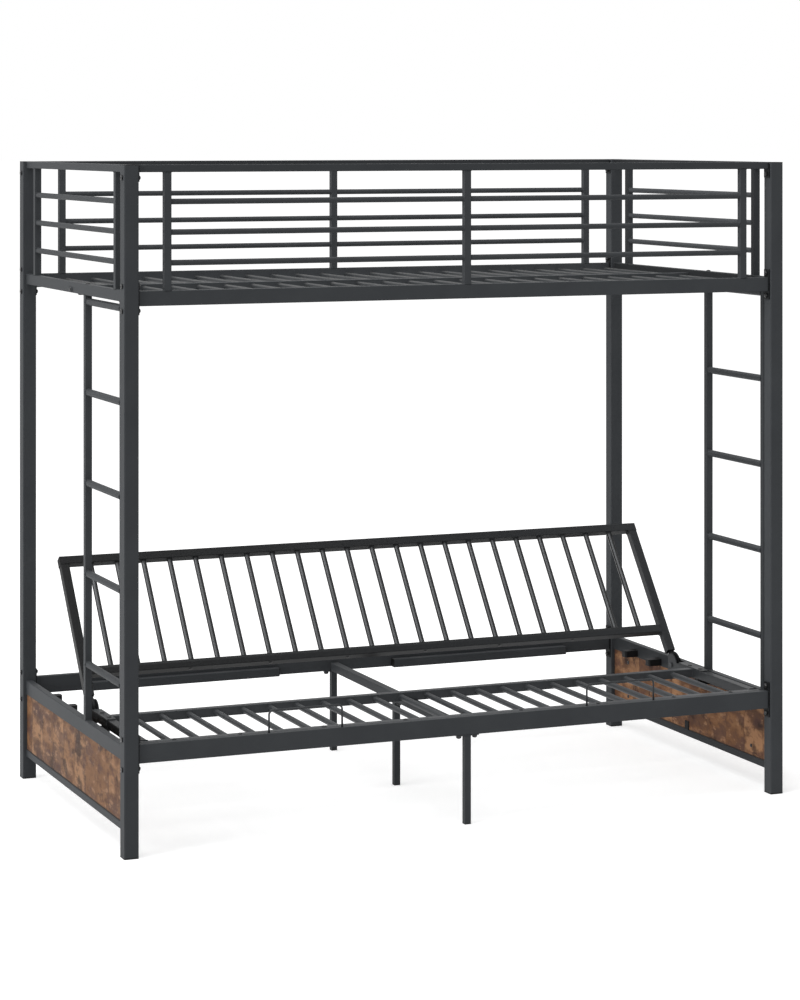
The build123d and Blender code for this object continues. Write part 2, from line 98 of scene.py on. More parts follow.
class Coat:
    # a material with one Principled shader, filled in by node calls
    def __init__(self, name):
        self.material = bpy.data.materials.new(name)
        self.material.use_nodes = True
        self.tree = self.material.node_tree
        self.shader = next(n for n in self.tree.nodes if n.type == "BSDF_PRINCIPLED")
        self.output = next(n for n in self.tree.nodes if n.type == "OUTPUT_MATERIAL")

    def node(self, kind, settings=None, inputs=None, output=0):
        made = self.tree.nodes.new(kind)
        for key, value in (settings or {}).items():
            setattr(made, key, value)
        for key, value in (inputs or {}).items():
            self.feed(made.inputs[key], value)
        return Wire(self, made.outputs[output])

    def feed(self, socket, value):
        if isinstance(value, Wire):
            self.tree.links.new(value.socket, socket)
        elif hasattr(socket.default_value, "__len__") and len(socket.default_value) == 4:
            socket.default_value = (*value, 1)
        else:
            socket.default_value = value

    def place(self):
        return self.node("ShaderNodeTexCoord", output="Object")

    def at(self, axis):
        return self.part(self.place(), axis)

    def facing(self, axis):
        return self.part(self.node("ShaderNodeNewGeometry", output="Normal"), axis)

    def part(self, vector, axis):
        return self.node("ShaderNodeSeparateXYZ", None, {0: vector}, axis)

    def joined(self, x, y, z):
        return self.node("ShaderNodeCombineXYZ", None, {0: x, 1: y, 2: z})

    def stretched(self, scale):
        return self.node("ShaderNodeMapping", None, {"Vector": self.place(), "Scale": scale})

    def noise(self, vector, scale, detail=3, roughness=0.5):
        inputs = {"Vector": vector, "Scale": scale, "Detail": detail, "Roughness": roughness}
        return self.node("ShaderNodeTexNoise", None, inputs, "Fac")

    def fromTo(self, value, low, high, newLow=0, newHigh=1):
        inputs = {"Value": value, "From Min": low, "From Max": high,
                  "To Min": newLow, "To Max": newHigh}
        return self.node("ShaderNodeMapRange", {"clamp": True}, inputs)

    def rising(self, value, zone):
        return self.fromTo(value, *zone)

    def falling(self, value, zone):
        return self.fromTo(value, *zone, 1, 0)

    def mixed(self, factor, first, second, how="MIX"):
        settings = {"data_type": "RGBA", "blend_type": how}
        inputs = {"Factor": factor, firstColour: first, secondColour: second}
        return self.node("ShaderNodeMix", settings, inputs, mixedColour)

    def rounded(self, radius):
        # the direction of a face whose edges are shaded round
        return self.node("ShaderNodeBevel", {"samples": edgeSamples}, {"Radius": radius})

    def finish(self, colour, roughness, height, look, metallic=0, specular=0.5):
        bump = self.node("ShaderNodeBump", None, {
            "Strength": look["bump"], "Distance": look["grainHeight"], "Height": height,
            "Normal": self.rounded(look["edge"])})
        self.feed(self.shader.inputs["Base Color"], colour)
        self.feed(self.shader.inputs["Roughness"], roughness)
        self.feed(self.shader.inputs["Normal"], bump)
        self.shader.inputs["Metallic"].default_value = metallic
        self.shader.inputs["Specular IOR Level"].default_value = specular
        return self.material


# finishes

# a noise is (scale, detail, roughness); a zone is where a change begins and ends,
# with the values at both ends where it has four numbers

powderCoat = {
    "colour": (0.0490, 0.0525, 0.0562),
    "paler": (0.064, 0.068, 0.072),
    "darker": (0.0385, 0.0412, 0.0448),
    "black": (0.005, 0.005, 0.005),
    "dustAndTopLight": (0.23, 0.225, 0.215),
    "dustAndTopLightShare": 0.10,
    "roughness": 0.46,
    "grain": (1 / 0.0011, 3, 0.55),  # 1.1 mm from bump to bump
    "waves": (90, 2), "cloud": (5.5, 4, 0.6),
    "rub": (3.0, 6, 0.7), "rubStretch": (9, 9, 60), "speck": (420, 1), "dustCloud": (14, 5, 0.65),
    "cloudZone": (0.25, 0.75), "rubZone": (0.66, 0.80), "speckZone": (0.70, 0.78),
    "dustZone": (0.3, 0.75), "upFacing": (0.6, 1.0), "roughZone": (0.2, 0.8),
    "rubbedShare": 0.35, "speckShare": 0.25,
    "roughLess": 0.05, "roughMore": 0.06, "rubbedSmooth": 0.08, "dustRough": 0.6,
    "grainShare": 0.7, "waveShare": 0.6,
    "grainHeight": 0.00005, "bump": 0.9,
    "edge": 0.0026,  # the radius that tube corners and the many-sided bars are shaded with
}

endRailShade = {
    "facing": (0.5, 0.8),
    "from": (0.9585, 0.9592), "to": (0.9608, 0.9615),  # distance from the bed's middle, along x
    "belowDeck": (1.459, 1.461),
    "share": 0.6, "lessBelowDeck": 0.34,
}


def paintedShadeOnEnds(coat, colour):
    # painted shade: the end rails' inner faces are darkened, most of all from the deck up
    look = endRailShade
    inward = coat.rising(coat.facing(alongX) * coat.at(alongX).alone("SIGN") * -1, look["facing"])
    farX = coat.at(alongX).alone("ABSOLUTE")
    onEnd = coat.rising(farX, look["from"]) * coat.falling(farX, look["to"])
    belowDeck = coat.falling(coat.at(alongZ), look["belowDeck"])
    share = look["share"] - belowDeck * look["lessBelowDeck"]
    return coat.mixed(inward * onEnd * share, colour, powderCoat["black"])


topRails = {"from": (1.803, 1.805), "end": (0.948, 0.950), "frontToBack": (-0.5, 0.5, 0.12, 0.38)}
rightwards = (-0.7, 0.9)


def darkerTopsAndPaintedLight(coat, colour, paintedLightRight):
    # the lengthwise top rails are a little darker, the back one most
    farX = coat.at(alongX).alone("ABSOLUTE")
    onTop = coat.rising(coat.at(alongZ), topRails["from"]) * coat.falling(farX, topRails["end"])
    share = onTop * coat.fromTo(coat.at(alongY), *topRails["frontToBack"])
    colour = coat.mixed(share, colour, powderCoat["black"])
    # painted light: the frame is a little paler towards its right end
    lifted = [1 + paintedLightRight] * 3
    return coat.mixed(coat.rising(coat.at(alongX), rightwards), colour, lifted, "MULTIPLY")


backrestLook = {
    "above": (0.302, 0.345),
    "leftToRight": (-0.93, 0.93, 0.88, 0.44),  # black's share at each end
    "barsEnd": (0.870, 0.890), "barsFoot": (0.390, 0.398), "barsHead": (0.648, 0.656),
    "barsBlack": 0.90, "barsSmooth": 0.16,
    # the painted highlight on the bars: its colour, the way it faces, and where it fades in
    "paintedHighlight": (0.150, 0.155, 0.160), "highlightFacing": (-0.456, -0.700, 0.548),
    "highlightZone": (0.87, 0.985),
}


def backrestBars(coat):
    look = backrestLook
    height = coat.at(alongZ)
    bars = coat.falling(coat.at(alongX).alone("ABSOLUTE"), look["barsEnd"])
    return bars * coat.rising(height, look["barsFoot"]) * coat.falling(height, look["barsHead"])


def darkerBackrestWithHighlight(coat, colour, bars):
    # the backrest is darker than the seat, most of all at its left end
    look = backrestLook
    above = coat.rising(coat.at(alongZ), look["above"])
    shade = coat.fromTo(coat.at(alongX), *look["leftToRight"])
    colour = coat.mixed(above * shade * (1 - bars), colour, powderCoat["black"])
    # the round bars are black, with a painted highlight, a pale streak down their front left
    paintedHighlight = coat.node("ShaderNodeVectorMath", {"operation": "DOT_PRODUCT"}, {
        0: coat.rounded(powderCoat["edge"]), 1: look["highlightFacing"]}, "Value")
    colour = coat.mixed(bars * look["barsBlack"], colour, powderCoat["black"])
    return coat.mixed(bars * coat.rising(paintedHighlight, look["highlightZone"]), colour, look["paintedHighlight"])


seatSideShade = {
    "facing": (0.45, 0.75), "outer": (0.9322, 0.9330), "low": (0.301, 0.304),
    "inner": (0.9065, 0.9075), "strapTops": (0.300, 0.345), "topShare": 0.32,
}


def paintedShadeOnSides(coat, colour):
    # painted shade: the hinge straps and the seat tubes beside them are black on their outer faces,
    # in the gap beside the end rails
    look = seatSideShade
    farX = coat.at(alongX).alone("ABSOLUTE")
    outward = coat.rising(coat.facing(alongX).alone("ABSOLUTE"), look["facing"])
    black = outward * coat.rising(farX, look["outer"]) * coat.falling(coat.at(alongZ), look["low"])
    colour = coat.mixed(black, colour, powderCoat["black"])
    # painted shade: their tops are a little darker than the slats
    tops = coat.rising(farX, look["inner"]) * coat.falling(coat.at(alongZ), look["strapTops"])
    return coat.mixed(tops * look["topShare"], colour, powderCoat["black"])


def powderCoated(name, tone=1.0, roughness=0.0, dustAndTopLightShare=1.0, sheen=0.05, paintedLightRight=0.0, futon=False):
    coat = Coat(name)
    look = powderCoat
    darker, plain, paler = ([c * tone for c in look[key]] for key in ("darker", "colour", "paler"))
    grain = coat.noise(coat.place(), *look["grain"])
    waves = coat.noise(coat.place(), *look["waves"])
    cloud = coat.noise(coat.place(), *look["cloud"])
    rub = coat.noise(coat.stretched(look["rubStretch"]), *look["rub"])
    rubbed = coat.rising(rub, look["rubZone"])
    speck = coat.rising(coat.noise(coat.place(), *look["speck"]), look["speckZone"])
    # dust and painted light: faces that look up are paler in patches, for dust and for the light on
    # tops
    dustAndTopLight = coat.fromTo(coat.facing(alongZ), *look["upFacing"], 0, look["dustAndTopLightShare"] * dustAndTopLightShare)
    dustAndTopLight = dustAndTopLight * coat.rising(coat.noise(coat.place(), *look["dustCloud"]), look["dustZone"])
    colour = coat.mixed(coat.rising(cloud, look["cloudZone"]), darker, plain)
    colour = coat.mixed(rubbed * look["rubbedShare"], colour, paler)
    colour = coat.mixed(speck * look["speckShare"], colour, paler)
    colour = coat.mixed(dustAndTopLight, colour, look["dustAndTopLight"])
    colour = paintedShadeOnEnds(coat, colour)
    middle = look["roughness"] + roughness
    smoothest, roughest = middle - look["roughLess"], middle + look["roughMore"]
    rough = coat.fromTo(cloud, *look["roughZone"], smoothest, roughest)
    rough = rough - rubbed * look["rubbedSmooth"] + dustAndTopLight * look["dustRough"]
    # painted light towards the right end, with the darker top rails
    if paintedLightRight:
        colour = darkerTopsAndPaintedLight(coat, colour, paintedLightRight)
    if futon:
        bars = backrestBars(coat)
        colour = paintedShadeOnSides(coat, darkerBackrestWithHighlight(coat, colour, bars))
        rough = rough - bars * backrestLook["barsSmooth"]
    height = grain * look["grainShare"] + waves * look["waveShare"]
    return coat.finish(colour, rough, height, look, specular=sheen)


boltFinish = {
    "colour": (0.012, 0.012, 0.013), "bare": (0.07, 0.07, 0.073),
    "roughness": (0.3, 0.7, 0.28, 0.44),
    "cloud": (160, 4, 0.6), "scratch": (260, 3, 0.6), "scratchStretch": (1, 1, 12),
    "scratchZone": (0.62, 0.74), "scratchShare": 0.55, "scratchRise": -0.5,
    "metallic": 0.25, "grainHeight": 0.00006, "bump": 0.8, "edge": 0.0008,
}


def blackenedSteel(name):
    coat = Coat(name)
    look = boltFinish
    cloud = coat.noise(coat.place(), *look["cloud"])
    scratch = coat.noise(coat.stretched(look["scratchStretch"]), *look["scratch"])
    scratch = coat.rising(scratch, look["scratchZone"])
    colour = coat.mixed(scratch * look["scratchShare"], look["colour"], look["bare"])
    rough = coat.fromTo(cloud, *look["roughness"])
    height = cloud + scratch * look["scratchRise"]
    return coat.finish(colour, rough, height, look, metallic=look["metallic"])


plasticFinish = {
    "colour": (0.006, 0.006, 0.0065), "worn": (0.020, 0.020, 0.021),
    "roughness": (0.3, 0.7, 0.47, 0.60),
    "spark": (1400, 2, 0.5), "cloud": (40, 4, 0.6), "wear": (95, 5, 0.7),
    "wearZone": (0.58, 0.72), "wearShare": 0.5, "cloudShare": 0.4,
    "sheen": 0.16, "grainHeight": 0.00008, "bump": 0.9, "edge": 0.0009,
}


def mouldedPlastic(name):
    coat = Coat(name)
    look = plasticFinish
    spark = coat.noise(coat.place(), *look["spark"])
    cloud = coat.noise(coat.place(), *look["cloud"])
    worn = coat.rising(coat.noise(coat.place(), *look["wear"]), look["wearZone"])
    colour = coat.mixed(worn * look["wearShare"], look["colour"], look["worn"])
    rough = coat.fromTo(cloud, *look["roughness"])
    height = spark + cloud * look["cloudShare"]
    return coat.finish(colour, rough, height, look, specular=look["sheen"])


boardPrint = {
    "staveWide": 0.112,  # metres along the bed's end
    "tan": (0.300, 0.162, 0.083),
    "honey": (0.172, 0.082, 0.037),
    "middle": (0.105, 0.052, 0.029),
    "mauve": (0.080, 0.043, 0.035),
    "dark": (0.026, 0.014, 0.0105),
    "knot": (0.026, 0.012, 0.008),
    "edge": 0.0009,
    "edgeAndShadowColour": (0.030, 0.024, 0.020),
    "leftToRight": (-0.5, 0.5), "paintedLightRight": (1.36, 1.32, 1.30),
    "roughness": (0.3, 0.7, 0.45, 0.62),
    "sheen": 0.07,
    "grainHeight": 0.00022, "bump": 0.8,
    "seam": (0.0, 0.030, 0.50, 0),  # from a stave's edge inwards
    "contactShadowLine": (0.0868, 0.0885, 0.85, 0),
    "facing": (0.2, 0.8),
}
boardFields = {
    "sway": (7, 3), "swayWide": 0.030,
    "seed": (3.17, 7.3, 1.7, 5.0),  # for the stave, the side, the stave's shift, the tone's shift
    "shiftStretch": (0.75, 1.7),
    "patches": (8.5, 5, 0.60),
    "mottle": (27.0, 6, 0.66),
    "strokes": (13.0, 5, 0.64), "strokeShift": 4.0, "strokeStretch": (0.9, 1.5), "strokeSway": 0.4,
    "strokeTone": 3.0,
    "fine": (2.0, 5, 0.7), "fineStretch": (1, 120, 45),
    "stains": (10.5, 4, 0.58), "stainStretch": (1, 1, 1),
    "knotScale": 11.0, "knotStretch": (1, 0.8, 1.1),
    "warp": (42, 4, 0.6), "warpShare": 0.34,
    "knotPlaces": (8.5, 1), "knotPlaceZone": (0.50, 0.58),
    "knotZone": (0.22, 0.33), "ringZone": (0.30, 0.52), "ringShare": 0.45, "knotShare": 0.90,
    "relief": (0.7, 0.5, 0.5),  # of the fine grain, the strokes and the knots
}
boardLayers = (  # field, where it begins and ends, its share at the end, paint
    ("patches", 0.45, 0.56, 1, "tan"),
    ("tone", 0.15, 0.85, 0.80, "honey"),
    ("strokes", 0.52, 0.59, 0.62, "mauve"),
    ("patches", 0.44, 0.36, 0.66, "mauve"),
    ("mottle", 0.54, 0.60, 0.50, "mauve"),
    ("stains", 0.57, 0.63, 0.74, "dark"),
    ("fine", 0.52, 0.70, 0.34, "dark"),
    ("mottle", 0.43, 0.36, 0.70, "tan"),
)


def knotsOn(coat):
    # the knots and the darker rings round them
    grown = boardFields
    near = coat.node("ShaderNodeTexVoronoi", {"feature": "F1"}, {
        "Vector": coat.stretched(grown["knotStretch"]), "Scale": grown["knotScale"],
        "Randomness": 1.0})
    near = near + coat.noise(coat.place(), *grown["warp"]) * grown["warpShare"]
    here = coat.rising(coat.noise(coat.place(), *grown["knotPlaces"]), grown["knotPlaceZone"])
    knot = coat.falling(near, grown["knotZone"]) * here
    ring = coat.falling(near, grown["ringZone"]) * here
    return knot, ring


def rusticBoard(name):
    # a printed wood face: upright staves, wavy grain, tan and mauve patches, stains and knots, with
    # painted light towards the right and a painted shadow along the lower edge
    coat = Coat(name)
    look, grown = boardPrint, boardFields
    across, along, height = (coat.at(axis) for axis in (alongX, alongY, alongZ))
    staveSeed, sideSeed, staveShift, toneShift = grown["seed"]
    side = across * sideSeed
    sway = coat.noise(coat.place(), *grown["sway"]) * grown["swayWide"]
    stave = (along + sway) / look["staveWide"]
    staveNumber = stave.alone("FLOOR")
    staveShare = stave - staveNumber
    tone = coat.node("ShaderNodeTexWhiteNoise", {"noise_dimensions": "3D"}, {
        "Vector": coat.joined(staveNumber * staveSeed, side, 0.0)})
    wide, tall = grown["shiftStretch"]
    shift = coat.joined(side + staveNumber * staveShift, along * wide,
                        height * tall + tone * toneShift)
    wide, tall = grown["strokeStretch"]
    strokePlace = coat.joined(side + grown["strokeShift"],
                              along * wide + sway * grown["strokeSway"],
                              height * tall + tone * grown["strokeTone"])
    fields = {
        "tone": tone,
        "patches": coat.noise(shift, *grown["patches"]),
        "mottle": coat.noise(shift, *grown["mottle"]),
        "strokes": coat.noise(strokePlace, *grown["strokes"]),
        "fine": coat.noise(coat.stretched(grown["fineStretch"]), *grown["fine"]),
        "stains": coat.noise(coat.stretched(grown["stainStretch"]), *grown["stains"]),
    }
    colour = look["middle"]
    for field, begins, ends, share, paint in boardLayers:
        colour = coat.mixed(coat.fromTo(fields[field], begins, ends, 0, share), colour, look[paint])
    # painted light: the board is paler towards the bed's right end
    rightward = coat.rising(across, look["leftToRight"])
    colour = coat.mixed(rightward, colour, look["paintedLightRight"], "MULTIPLY")
    knot, ring = knotsOn(coat)
    colour = coat.mixed(ring * grown["ringShare"], colour, look["dark"])
    colour = coat.mixed(knot * grown["knotShare"], colour, look["knot"])
    seam = coat.fromTo(staveShare, *look["seam"])
    colour = coat.mixed(seam, colour, look["dark"])
    # painted shadow: a dark line along the board's lower edge, where it meets the rail
    colour = coat.mixed(coat.fromTo(height, *look["contactShadowLine"]), colour, look["edgeAndShadowColour"])
    rim = coat.falling(coat.facing(alongX).alone("ABSOLUTE"), look["facing"])
    colour = coat.mixed(rim, colour, look["edgeAndShadowColour"])
    rough = coat.fromTo(fields["mottle"], *look["roughness"])
    fineDeep, strokeDeep, knotDeep = grown["relief"]
    relief = fields["fine"] * fineDeep + fields["strokes"] * strokeDeep - seam - knot * knotDeep
    return coat.finish(colour, rough, relief, look, specular=look["sheen"])


finishes = {
    "post_coat": powderCoated("post_coat", paintedLightRight=0.20),
    "rail_coat": powderCoated("rail_coat", tone=1.04, roughness=0.01, paintedLightRight=0.16),
    # the slats take much of it, as painted light on their tops
    "slat_coat": powderCoated("slat_coat", tone=0.74, dustAndTopLightShare=4.5, sheen=0.16),
    "futon_coat": powderCoated("futon_coat", tone=1.03, roughness=-0.04, dustAndTopLightShare=0.8, sheen=0.12,
                               futon=True),
    "black_coat": powderCoated("black_coat", tone=0.26, roughness=-0.04, dustAndTopLightShare=0.3),
    "wire_coat": powderCoated("wire_coat", tone=0.70, roughness=-0.05, dustAndTopLightShare=0.3, sheen=0.22),
    "bolt_coat": blackenedSteel("bolt_coat"),
    "black_plastic": mouldedPlastic("black_plastic"),
    "wood_board": rusticBoard("wood_board"),
}
slotOf = {part["node"]: part["material_slot"] for part in frame["record"]["subparts"]}
for nodeName, nodeObject in nodes.items():
    nodeObject.data.materials.clear()
    nodeObject.data.materials.append(finishes[slotOf[nodeName]])
print("finishes laid on the nodes")


# small pieces on the frame

lean = math.radians(52)
pivot = Vector((0, 0.005, 0.2848))
alongBack = Vector((0, math.cos(lean), math.sin(lean)))
bothSides = (-1, 1)

# middles of the frame's members and the edges where they meet, in metres
members = {
    "endX": 0.970, "railY": 0.510, "seatTubeX": 0.921, "seatTubeInner": 0.9085,
    "seatTubeOuter": 0.9335, "seatMiddle": 0.2845, "topRailUnder": 1.804, "deckRailTop": 1.491,
    "backTop": 0.480, "backTopUnder": 0.4675,  # along the backrest
}


def madePiece(name, bm, slot, body):
    mesh = bpy.data.meshes.new(name)
    bmesh.ops.recalc_face_normals(bm, faces=bm.faces)
    bm.to_mesh(mesh)
    bm.free()
    piece = bpy.data.objects.new(name, mesh)
    scene.collection.objects.link(piece)
    mesh.materials.append(finishes[slot])
    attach(piece, body)
    return piece


def standing(place, axis, turn=0.0):
    # a matrix that stands local +Z along axis at place, turned about that axis
    upright = Vector(axis).to_track_quat("Z", "Y").to_matrix().to_4x4()
    return Matrix.Translation(place) @ upright @ Matrix.Rotation(turn, 4, "Z")


def onBack(x, up):
    # a place on the leaning backrest, at x and that far up from the pivot
    return Vector((x, 0, 0)) + pivot + alongBack * up


def joinRings(bm, rings):
    for lower, upper in zip(rings, rings[1:]):
        for step in range(len(lower)):
            after = (step + 1) % len(lower)
            bm.faces.new((lower[step], lower[after], upper[after], upper[step]))


def ringAround(bm, stand, radius, height, sides):
    turns = [2 * math.pi * step / sides for step in range(sides)]
    return [bm.verts.new(stand @ Vector((radius * math.cos(t), radius * math.sin(t), height)))
            for t in turns]


def addTurned(bm, place, axis, profile, sides):
    # a turned head: profile is (radius, height) pairs from the foot's rim to the crown's point
    stand = standing(place, axis)
    rings = [ringAround(bm, stand, radius, height, sides) for radius, height in profile[:-1]]
    crown = bm.verts.new(stand @ Vector((0, 0, profile[-1][1])))
    bm.faces.new(list(reversed(rings[0])))
    joinRings(bm, rings)
    for step in range(sides):
        bm.faces.new((rings[-1][step], rings[-1][(step + 1) % sides], crown))


screwHead = {
    "radius": 0.0048, "tall": 0.0022, "socket": 0.0017, "socketDeep": 0.0010,
    "sunk": 0.0003, "sides": 20,
    "rim": ((1, 0), (1, 0.45), (0.92, 0.75), (0.72, 1)),  # shares of the radius and of the height
    "socketTaper": 0.9,
}


def addScrew(bm, place, axis, size=1.0):
    # a pan head with a recess, its rim rounded
    radius, tall, socket, deep = (
        screwHead[key] * size for key in ("radius", "tall", "socket", "socketDeep"))
    profile = [(radius * wide, tall * up) for wide, up in screwHead["rim"]]
    profile += [(socket, tall), (socket * screwHead["socketTaper"], tall - deep), (0, tall - deep)]
    foot = Vector(place) - Vector(axis) * screwHead["sunk"]
    addTurned(bm, foot, axis, profile, screwHead["sides"])


# screws that hold the seat panel and the hinge straps
seatScrews = {"x": (-0.840, -0.655, -0.414, -0.175, 0.175, 0.414, 0.655, 0.840),
              "inset": 0.010, "size": 1.25}
strapScrews = {"y": (-0.158, -0.095), "z": 0.300, "size": 1.35}
bm = bmesh.new()
seatLow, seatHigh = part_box("seat_front_tube")
for x in seatScrews["x"]:
    place = (x, seatLow.y + seatScrews["inset"], seatHigh.z)
    addScrew(bm, place, (0, 0, 1), seatScrews["size"])
for side in bothSides:
    for y in strapScrews["y"]:
        place = (side * members["seatTubeX"], y, strapScrews["z"])
        addScrew(bm, place, (0, 0, 1), strapScrews["size"])
madePiece("seat_screws", bm, "bolt_coat", "bed_frame")

backrestScrews = {"x": (-0.608, -0.365, -0.124, 0.124, 0.365, 0.608), "up": 0.109}
bm = bmesh.new()
for x in backrestScrews["x"]:
    addScrew(bm, onBack(x, backrestScrews["up"]), -alongBack)
madePiece("backrest_screws", bm, "bolt_coat", "backrest")

boardScrews = {"x": 0.9625, "y": (-0.394, 0.394), "z": (0.114, 0.222), "size": 1.15}
bm = bmesh.new()
for side in bothSides:
    for y in boardScrews["y"]:
        for z in boardScrews["z"]:
            addScrew(bm, (side * boardScrews["x"], y, z), (-side, 0, 0), boardScrews["size"])
madePiece("board_screws", bm, "bolt_coat", "bed_frame")

legBolts = {
    "places": ((-0.024, -0.510), (0.024, -0.510), (-0.024, 0.510), (0.024, 0.510),
               (0, -0.023), (0, 0.023)),
    "profile": ((0.0074, 0), (0.0074, 0.0042), (0.0064, 0.0066), (0.0040, 0.0082), (0, 0.0088)),
    "sunk": 0.0003, "sides": 20,
}
bm = bmesh.new()
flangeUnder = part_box("centre_leg_flanges")[0].z
for x, y in legBolts["places"]:
    place = Vector((x, y, flangeUnder + legBolts["sunk"]))
    addTurned(bm, place, (0, 0, -1), legBolts["profile"], legBolts["sides"])
madePiece("leg_bolts", bm, "bolt_coat", "bed_frame")
print("screws set")


# welds where tube meets tube

weldBead = {
    "wide": 0.0021, "tall": 0.0023, "wander": 0.22, "sunk": 0.0005,
    "shoulder": (0.72, 0.55),  # shares of the width and of the height
    "small": 0.8,
}
chance = random.Random(11)


def roundOutline(radius, steps=10):
    # points and outward directions round a bar
    turns = [2 * math.pi * step / steps for step in range(steps)]
    outward = [(math.cos(t), math.sin(t)) for t in turns]
    return [((radius * x, radius * y), (x, y)) for x, y in outward]


cornerTurns = (15, 75)  # degrees from a quarter's start, for the two points on a round corner


def boxOutline(wide, tall, corner=0.0018):
    # the same round a square tube, with two points on each round corner
    points = []
    for signX, signY, start in ((1, 1, 0), (-1, 1, 90), (-1, -1, 180), (1, -1, 270)):
        for more in cornerTurns:
            turn = math.radians(start + more)
            outX, outY = math.cos(turn), math.sin(turn)
            x = signX * (wide / 2 - corner) + corner * outX
            y = signY * (tall / 2 - corner) + corner * outY
            points.append(((x, y), (outX, outY)))
    return points


def addBead(bm, place, axis, outline, size=1.0, turn=0.0):
    # a lumpy bead round the outline at place, where a tube leaves a face along axis
    stand = standing(place, axis, turn)
    shoulderWide, shoulderTall = weldBead["shoulder"]
    rings = []
    for (x, y), (outX, outY) in outline:
        grow = size * (1 + weldBead["wander"] * chance.uniform(-1, 1))
        wide, tall, sunk = weldBead["wide"] * grow, weldBead["tall"] * grow, weldBead["sunk"]
        corners = ((-sunk, -sunk), (wide, -sunk), (wide * shoulderWide, tall * shoulderTall),
                   (-sunk, tall))
        rings.append([bm.verts.new(stand @ Vector((x + outX * out, y + outY * out, up)))
                      for out, up in corners])
    for ring, after in zip(rings, rings[1:] + rings[:1]):
        for corner in range(len(ring)):
            upper = (corner + 1) % len(ring)
            bm.faces.new((ring[corner], after[corner], after[upper], ring[upper]))


def barPlaces(nodeName, count, radius):
    # middles of a row of equal bars, from the row's box
    low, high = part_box(nodeName)
    first, last = low.x + radius, high.x - radius
    return [first + (last - first) * step / (count - 1) for step in range(count)]


tubes = {"bar": 0.008, "rung": 0.010, "slim": 0.019, "square": 0.025}  # two radii, two widths
seatSlatCount = 22
deckSlatCount = 24
seatPlaces = barPlaces("seat_slats", seatSlatCount, tubes["bar"])
deckPlaces = barPlaces("deck_front_slats", deckSlatCount, tubes["bar"])
aroundBar = roundOutline(tubes["bar"])
aroundRung = roundOutline(tubes["rung"])
aroundSlim = boxOutline(tubes["slim"], tubes["slim"])
aroundTube = boxOutline(tubes["square"], tubes["square"])

slatRows = (
    ("seat_slats", "seat_slat_welds", seatPlaces, "futon_coat"),
    ("deck_front_slats", "deck_front_welds", deckPlaces, "slat_coat"),
    ("deck_back_slats", "deck_back_welds", deckPlaces, "slat_coat"),
)
for nodeName, pieceName, places, slot in slatRows:
    bm = bmesh.new()
    low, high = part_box(nodeName)
    middle = (low.z + high.z) / 2
    for x in places:
        addBead(bm, (x, low.y, middle), (0, 1, 0), aroundBar)
        addBead(bm, (x, high.y, middle), (0, -1, 0), aroundBar)
    madePiece(pieceName, bm, slot, "bed_frame")

backrestWelds = {"barFoot": 0.134, "lowerRail": 0.1215}  # up from the pivot
bm = bmesh.new()
for x in seatPlaces:
    addBead(bm, onBack(x, backrestWelds["barFoot"]), alongBack, aroundBar)
    addBead(bm, onBack(x, members["backTopUnder"]), -alongBack, aroundBar)
for side in bothSides:
    foot = onBack(side * members["seatTubeInner"], backrestWelds["lowerRail"])
    head = onBack(side * members["seatTubeX"], members["backTopUnder"])
    addBead(bm, foot, (-side, 0, 0), aroundTube, turn=-side * lean)
    addBead(bm, head, -alongBack, aroundTube)
madePiece("backrest_welds", bm, "futon_coat", "backrest")

guardWelds = {
    "heights": (1.7261, 1.6450, 1.5639),
    "barEnds": ((-0.857, 1), (-0.0095, -1), (0.0095, 1), (0.857, -1)),  # x, and the way it leaves
    "uprights": (-0.8665, 0, 0.8665),
    "endBarY": 0.3955, "endUprightY": 0.405,
}


def addUprightBeads(bm, x, y):
    # at the foot and the head of a guard's upright
    addBead(bm, (x, y, members["deckRailTop"]), (0, 0, 1), aroundSlim, weldBead["small"])
    addBead(bm, (x, y, members["topRailUnder"]), (0, 0, -1), aroundSlim, weldBead["small"])


bm = bmesh.new()
for row in bothSides:
    for height in guardWelds["heights"]:
        for x, way in guardWelds["barEnds"]:
            addBead(bm, (x, row * members["railY"], height), (way, 0, 0), aroundBar)
    for x in guardWelds["uprights"]:
        addUprightBeads(bm, x, row * members["railY"])
for side in bothSides:
    for way in bothSides:
        for height in guardWelds["heights"]:
            place = (side * members["endX"], way * guardWelds["endBarY"], height)
            addBead(bm, place, (0, -way, 0), aroundBar)
        addUprightBeads(bm, side * members["endX"], way * guardWelds["endUprightY"])
madePiece("guard_welds", bm, "rail_coat", "bed_frame")

ladderWelds = {"rungs": 5, "firstRung": 0.443, "pitch": 0.250, "railY": (-0.460, -0.120),
               "foot": 0.289, "head": 1.461}
bm = bmesh.new()
for side, sideName in zip(bothSides, ("left", "right")):
    endX = side * members["endX"]
    rungLow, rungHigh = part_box(sideName + "_ladder_rungs")
    for step in range(ladderWelds["rungs"]):
        height = ladderWelds["firstRung"] + ladderWelds["pitch"] * step
        addBead(bm, (endX, rungLow.y, height), (0, 1, 0), aroundRung)
        addBead(bm, (endX, rungHigh.y, height), (0, -1, 0), aroundRung)
    for y in ladderWelds["railY"]:
        addBead(bm, (endX, y, ladderWelds["foot"]), (0, 0, 1), aroundSlim, weldBead["small"])
        addBead(bm, (endX, y, ladderWelds["head"]), (0, 0, -1), aroundSlim, weldBead["small"])
    for railName in ("deck_rail", "lower_rail", "bottom_rail"):
        railLow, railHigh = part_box(sideName + "_end_" + railName)
        around = boxOutline(railHigh.x - railLow.x, railHigh.z - railLow.z)
        middle = (railLow.z + railHigh.z) / 2
        addBead(bm, (endX, railLow.y, middle), (0, 1, 0), around, weldBead["small"])
        addBead(bm, (endX, railHigh.y, middle), (0, -1, 0), around, weldBead["small"])
madePiece("end_frame_welds", bm, "rail_coat", "bed_frame")

